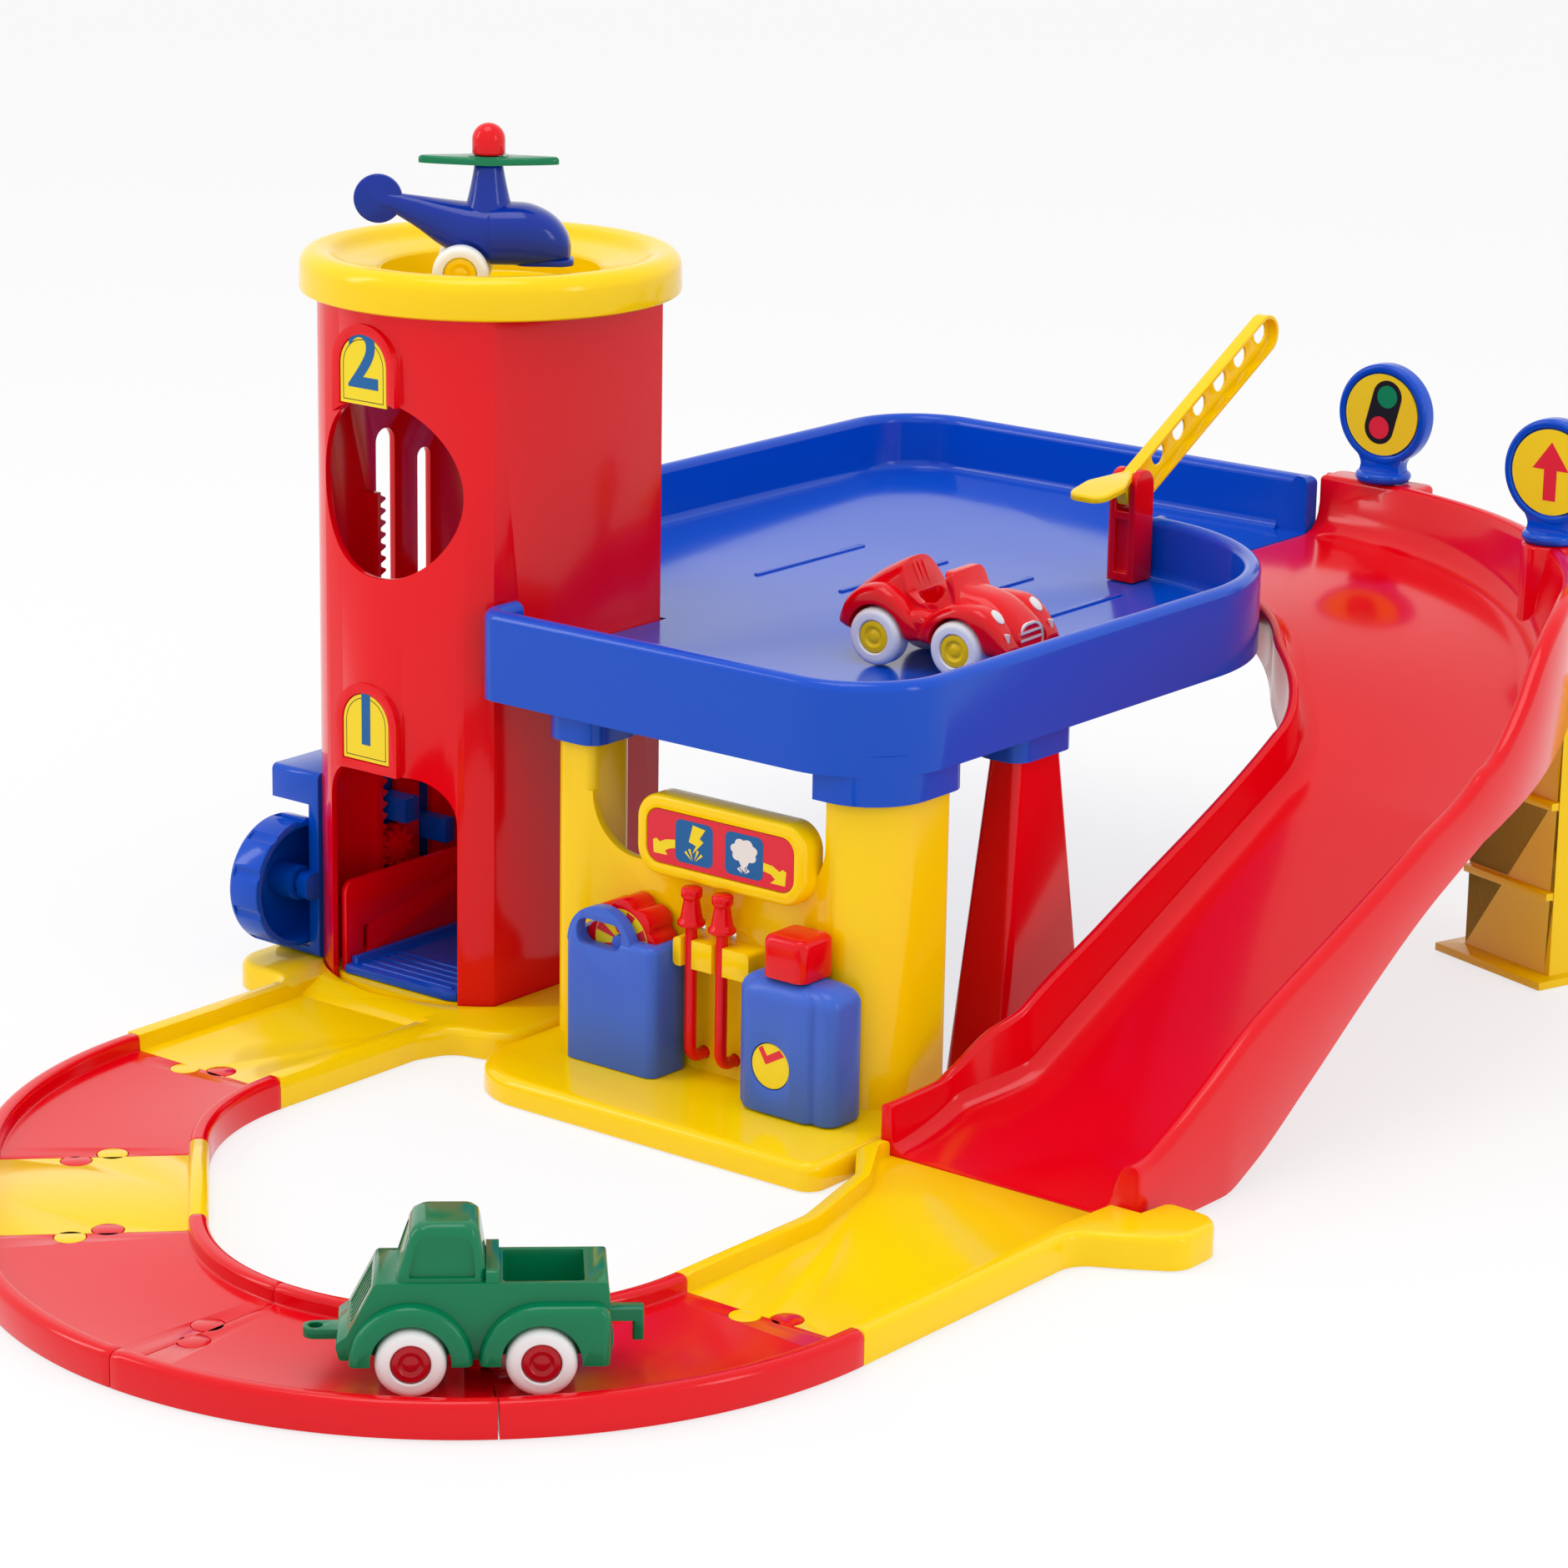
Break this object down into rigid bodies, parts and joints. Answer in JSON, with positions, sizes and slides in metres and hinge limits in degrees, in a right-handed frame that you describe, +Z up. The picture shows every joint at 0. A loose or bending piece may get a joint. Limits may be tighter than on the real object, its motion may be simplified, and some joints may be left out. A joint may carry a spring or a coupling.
{
  "type": "toy parking garage",
  "caption": "Toy parking garage with lift tower, helipad, parking deck, pump wall, curved slide, road loop, barrier and small vehicles.",
  "frame": {"origin": "on the lift tower's axis at the underside of its base, where it stands on the floor", "axes": "+Z up; -Y is the side with the lift door and the pump wall's face; +X runs from the tower to the slide"},
  "size_m": [0.382, 0.6331, 0.2841],
  "materials": {
    "tower_shell": "glossy red moulded plastic",
    "support_column": "glossy red moulded plastic",
    "slide": "glossy red moulded plastic",
    "barrier_post": "glossy red moulded plastic",
    "track_curve_1": "glossy red moulded plastic",
    "track_curve_2": "glossy red moulded plastic",
    "track_curve_3": "glossy red moulded plastic",
    "track_curve_4": "glossy red moulded plastic",
    "hose_left": "glossy red moulded plastic",
    "hose_right": "glossy red moulded plastic",
    "jerrycan_dial": "glossy red moulded plastic",
    "oil_can_cap": "glossy red moulded plastic",
    "lift_pinion": "glossy red moulded plastic",
    "lift_side_wall": "glossy red moulded plastic",
    "helicopter_knob": "glossy red moulded plastic",
    "roadster_body": "glossy red moulded plastic",
    "tower_base_road": "glossy yellow moulded plastic",
    "helipad_cap": "glossy yellow moulded plastic",
    "pump_wall": "glossy yellow moulded plastic",
    "slide_end_road": "glossy yellow moulded plastic",
    "slide_leg": "glossy yellow moulded plastic",
    "barrier_arm": "glossy yellow moulded plastic",
    "track_straight": "glossy yellow moulded plastic",
    "helicopter_axle": "glossy yellow moulded plastic",
    "roadster_front_axle": "glossy yellow moulded plastic",
    "roadster_rear_axle": "glossy yellow moulded plastic",
    "deck": "glossy blue moulded plastic",
    "lift_carriage": "glossy blue moulded plastic",
    "lift_hand_wheel": "glossy blue moulded plastic",
    "lift_platform": "glossy blue moulded plastic",
    "light_sign": "glossy blue moulded plastic",
    "arrow_sign": "glossy blue moulded plastic",
    "helicopter_body": "glossy blue moulded plastic",
    "jerrycan": "soft blue moulded plastic",
    "oil_can": "soft blue moulded plastic",
    "helicopter_rotor": "glossy green moulded plastic",
    "truck_body": "glossy green moulded plastic",
    "truck_front_axle": "glossy dark red moulded plastic",
    "truck_rear_axle": "glossy dark red moulded plastic",
    "floor_label_1": "printed film label, satin",
    "floor_label_2": "printed film label, satin",
    "light_sign_face": "printed film label, satin",
    "arrow_sign_face": "printed film label, satin",
    "oil_can_gauge": "printed film label, satin",
    "pump_sign_label": "printed film label, satin",
    "helicopter_tyre_left": "white soft plastic",
    "helicopter_tyre_right": "white soft plastic",
    "roadster_front_tyre_left": "white soft plastic",
    "roadster_front_tyre_right": "white soft plastic",
    "roadster_rear_tyre_left": "white soft plastic",
    "roadster_rear_tyre_right": "white soft plastic",
    "truck_front_tyre_left": "white soft plastic",
    "truck_front_tyre_right": "white soft plastic",
    "truck_rear_tyre_left": "white soft plastic",
    "truck_rear_tyre_right": "white soft plastic"
  },
  "bodies": {
    "garage": {"tower_shell": "tower_shell", "tower_base_road": "tower_base_road", "floor_label_1": "floor_label_1", "floor_label_2": "floor_label_2", "deck": "deck", "pump_wall": "pump_wall", "pump_sign_label": "pump_sign_label", "jerrycan": "jerrycan", "oil_can": "oil_can", "oil_can_gauge": "oil_can_gauge", "support_column": "support_column", "slide": "slide", "slide_end_road": "slide_end_road", "slide_leg": "slide_leg", "barrier_post": "barrier_post", "track_curve_1": "track_curve_1", "track_curve_2": "track_curve_2", "track_curve_3": "track_curve_3", "track_curve_4": "track_curve_4", "track_straight": "track_straight"},
    "helipad": {"helipad_cap": "helipad_cap"},
    "lift": {"lift_platform": "lift_platform", "lift_side_wall": "lift_side_wall", "lift_carriage": "lift_carriage"},
    "pinion": {"lift_pinion": "lift_pinion"},
    "hand_wheel": {"lift_hand_wheel": "lift_hand_wheel"},
    "dial": {"jerrycan_dial": "jerrycan_dial"},
    "can_cap": {"oil_can_cap": "oil_can_cap"},
    "hose_a": {"hose_left": "hose_left"},
    "hose_b": {"hose_right": "hose_right"},
    "barrier": {"barrier_arm": "barrier_arm"},
    "sign_a": {"light_sign": "light_sign", "light_sign_face": "light_sign_face"},
    "sign_b": {"arrow_sign": "arrow_sign", "arrow_sign_face": "arrow_sign_face"},
    "helicopter": {"helicopter_body": "helicopter_body", "helicopter_knob": "helicopter_knob"},
    "rotor": {"helicopter_rotor": "helicopter_rotor"},
    "helicopter_wheels": {"helicopter_axle": "helicopter_axle", "helicopter_tyre_left": "helicopter_tyre_left", "helicopter_tyre_right": "helicopter_tyre_right"},
    "roadster": {"roadster_body": "roadster_body"},
    "roadster_front": {"roadster_front_axle": "roadster_front_axle", "roadster_front_tyre_left": "roadster_front_tyre_left", "roadster_front_tyre_right": "roadster_front_tyre_right"},
    "roadster_rear": {"roadster_rear_axle": "roadster_rear_axle", "roadster_rear_tyre_left": "roadster_rear_tyre_left", "roadster_rear_tyre_right": "roadster_rear_tyre_right"},
    "truck": {"truck_body": "truck_body"},
    "truck_front": {"truck_front_axle": "truck_front_axle", "truck_front_tyre_left": "truck_front_tyre_left", "truck_front_tyre_right": "truck_front_tyre_right"},
    "truck_rear": {"truck_rear_axle": "truck_rear_axle", "truck_rear_tyre_left": "truck_rear_tyre_left", "truck_rear_tyre_right": "truck_rear_tyre_right"}
  },
  "joints": [
    {"name": "lift_travel", "type": "slide", "parent": "garage", "child": "lift", "axis": [0, 0, 1], "range_m": [0, 0.109]},
    {"name": "pinion_spin", "type": "hinge", "parent": "lift", "child": "pinion", "pos_m": [-0.033, -0.0117, 0.0426], "axis": [1, 0, 0], "range_deg": [0, 1000]},
    {"name": "hand_wheel_spin", "type": "hinge", "parent": "lift", "child": "hand_wheel", "pos_m": [-0.05, -0.044, 0.0345], "axis": [1, 0, 0], "range_deg": [0, 1000]},
    {"name": "helipad_lift_off", "type": "slide", "parent": "garage", "child": "helipad", "axis": [0, 0, 1], "range_m": [0, 0.06]},
    {"name": "helicopter_lift_off", "type": "slide", "parent": "helipad", "child": "helicopter", "axis": [0, 0, 1], "range_m": [0, 0.08]},
    {"name": "helicopter_wheel_spin", "type": "hinge", "parent": "helicopter", "child": "helicopter_wheels", "pos_m": [0.00002, -0.01296, 0.2387], "axis": [-0.6198, 0.7848, 0], "continuous": true},
    {"name": "rotor_spin", "type": "hinge", "parent": "helicopter", "child": "rotor", "pos_m": [0.0063, -0.008, 0.2714], "axis": [0, 0, 1], "continuous": true},
    {"name": "dial_turn", "type": "hinge", "parent": "garage", "child": "dial", "pos_m": [0.103, -0.0553, 0.048], "axis": [0, 1, 0], "continuous": true},
    {"name": "can_cap_turn", "type": "hinge", "parent": "garage", "child": "can_cap", "pos_m": [0.17, -0.0532, 0.0513], "axis": [0, 0, 1], "continuous": true},
    {"name": "hose_left_pull", "type": "slide", "parent": "garage", "child": "hose_a", "axis": [0, -1, 0], "range_m": [0, 0.03]},
    {"name": "hose_right_pull", "type": "slide", "parent": "garage", "child": "hose_b", "axis": [0, -1, 0], "range_m": [0, 0.03]},
    {"name": "barrier_swing", "type": "hinge", "parent": "garage", "child": "barrier", "pos_m": [0.1185, 0.1905, 0.154], "axis": [1, 0, 0], "range_deg": [-29, 30]},
    {"name": "light_sign_turn", "type": "hinge", "parent": "garage", "child": "sign_a", "pos_m": [0.147, 0.305, 0.1416], "axis": [0, 0, 1], "continuous": true},
    {"name": "arrow_sign_turn", "type": "hinge", "parent": "garage", "child": "sign_b", "pos_m": [0.24, 0.26, 0.1416], "axis": [0, 0, 1], "continuous": true},
    {"name": "roadster_lift_off", "type": "slide", "parent": "garage", "child": "roadster", "axis": [0, 0, 1], "range_m": [0, 0.08]},
    {"name": "roadster_front_spin", "type": "hinge", "parent": "roadster", "child": "roadster_front", "pos_m": [0.15496, 0.05705, 0.1306], "axis": [-0.0698, 0.9976, 0], "continuous": true},
    {"name": "roadster_rear_spin", "type": "hinge", "parent": "roadster", "child": "roadster_rear", "pos_m": [0.12504, 0.05495, 0.1306], "axis": [-0.0698, 0.9976, 0], "continuous": true},
    {"name": "truck_lift_off", "type": "slide", "parent": "garage", "child": "truck", "axis": [0, 0, 1], "range_m": [0, 0.08]},
    {"name": "truck_front_spin", "type": "hinge", "parent": "truck", "child": "truck_front", "pos_m": [0.21421, -0.26993, 0.0146], "axis": [0.6691, -0.7431, 0], "continuous": true},
    {"name": "truck_rear_spin", "type": "hinge", "parent": "truck", "child": "truck_rear", "pos_m": [0.23918, -0.24744, 0.0146], "axis": [0.6691, -0.7431, 0], "continuous": true}
  ],
  "couplings": [
    {"joint": "pinion_spin", "follows": "lift_travel", "rad_per_m": 160},
    {"joint": "hand_wheel_spin", "follows": "lift_travel", "rad_per_m": 160}
  ]
}
